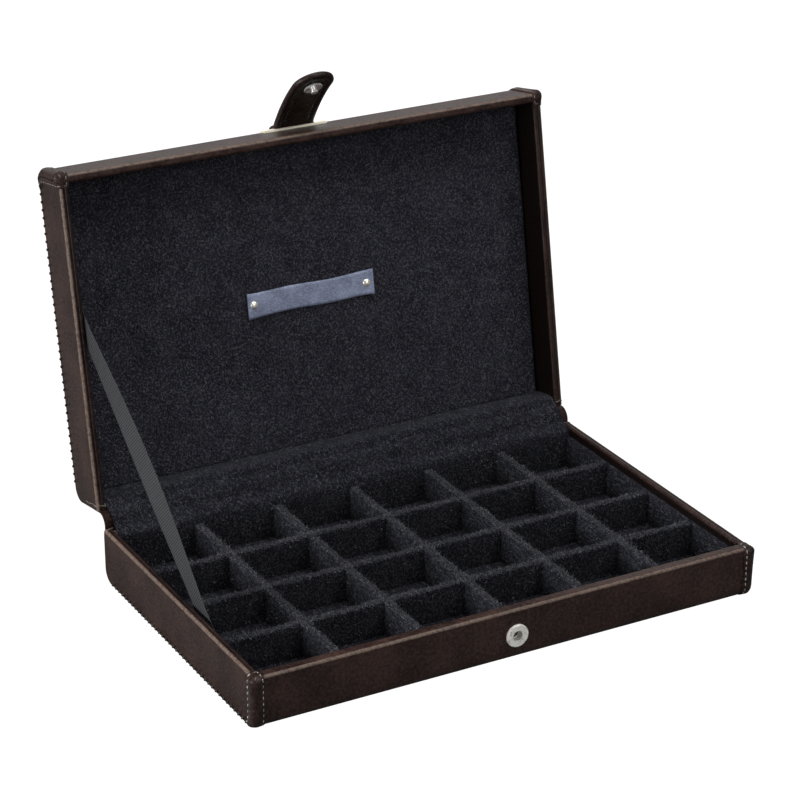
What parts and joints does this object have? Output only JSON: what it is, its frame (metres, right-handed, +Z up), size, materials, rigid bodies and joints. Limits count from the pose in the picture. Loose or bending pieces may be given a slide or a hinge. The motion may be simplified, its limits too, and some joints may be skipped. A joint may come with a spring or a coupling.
{
  "type": "cufflink case",
  "caption": "Hinged leather case with a velvet tray of small square compartments, a padded lid on a ribbon stay, and a curved tab that snaps to the front.",
  "frame": {"origin": "middle of the underside of the base", "axes": "+X along the case to its right end, +Y from the front to the hinge at the back, +Z up"},
  "size_m": [0.2514, 0.2173, 0.2173],
  "materials": {
    "brown_leather": "smooth dark-brown leather with fine pores and a satin sheen",
    "velvet": "short-pile blue-black velvet with stray pale fibres",
    "label_leather": "matte blue-grey leather strip with cut edges",
    "ribbon": "black woven ribbon with a fine twill",
    "nickel": "polished nickel-plated snap fastener",
    "gold_metal": "pale gold-plated sheet and rivets",
    "pale_brass": "pale domed rivets",
    "board": "grey board under the leather, out of sight"
  },
  "bodies": {
    "base": {"base_underside_leather": "brown_leather", "base_bottom_board": "board", "base_front_board": "board", "base_back_board": "board", "base_front_leather": "brown_leather", "base_back_leather": "brown_leather", "base_floor_pad": "velvet", "base_front_liner": "velvet", "base_back_liner": "velvet", "snap_socket": "nickel", "snap_socket_washer": "nickel", "hinge_spine": "brown_leather", "hinge_lining": "velvet", "ribbon_stay": "ribbon", "base_left_board": "board", "base_left_leather": "brown_leather", "base_left_liner": "velvet", "base_left_binding": "brown_leather", "base_right_board": "board", "base_right_leather": "brown_leather", "base_right_liner": "velvet", "base_right_binding": "brown_leather", "long_divider_1": "velvet", "long_divider_2": "velvet", "long_divider_3": "velvet", "cross_divider_1": "velvet", "cross_divider_2": "velvet", "cross_divider_3": "velvet", "cross_divider_4": "velvet", "cross_divider_5": "velvet"},
    "lid": {"lid_top_leather": "brown_leather", "lid_panel_board": "board", "lid_front_board": "board", "lid_back_board": "board", "lid_front_leather": "brown_leather", "lid_back_leather": "brown_leather", "lid_padding": "velvet", "lid_back_liner": "velvet", "label_strip": "label_leather", "label_rivets": "pale_brass", "tab_plate": "gold_metal", "tab_tail": "brown_leather", "plate_rivets": "gold_metal", "lid_left_board": "board", "lid_left_leather": "brown_leather", "lid_left_binding": "brown_leather", "lid_right_board": "board", "lid_right_leather": "brown_leather", "lid_right_binding": "brown_leather"},
    "tab": {"tab_inner_leather": "brown_leather", "tab_outer_leather": "brown_leather", "snap_stud": "nickel", "snap_cap": "nickel"}
  },
  "joints": [
    {"name": "lid_hinge", "type": "hinge", "parent": "base", "child": "lid", "pos_m": [0, 0.084, 0.026], "axis": [1, 0, 0], "range_deg": [0, 100], "deforming": ["hinge_spine", "hinge_lining", "ribbon_stay"]},
    {"name": "tab_fold", "type": "hinge", "parent": "lid", "child": "tab", "pos_m": [0.0012, 0.12977, 0.18365], "axis": [1, 0, 0], "range_deg": [-35, 38.16], "stiffness_Nm_per_rad": 0.03, "deforming": ["tab_tail"]}
  ]
}
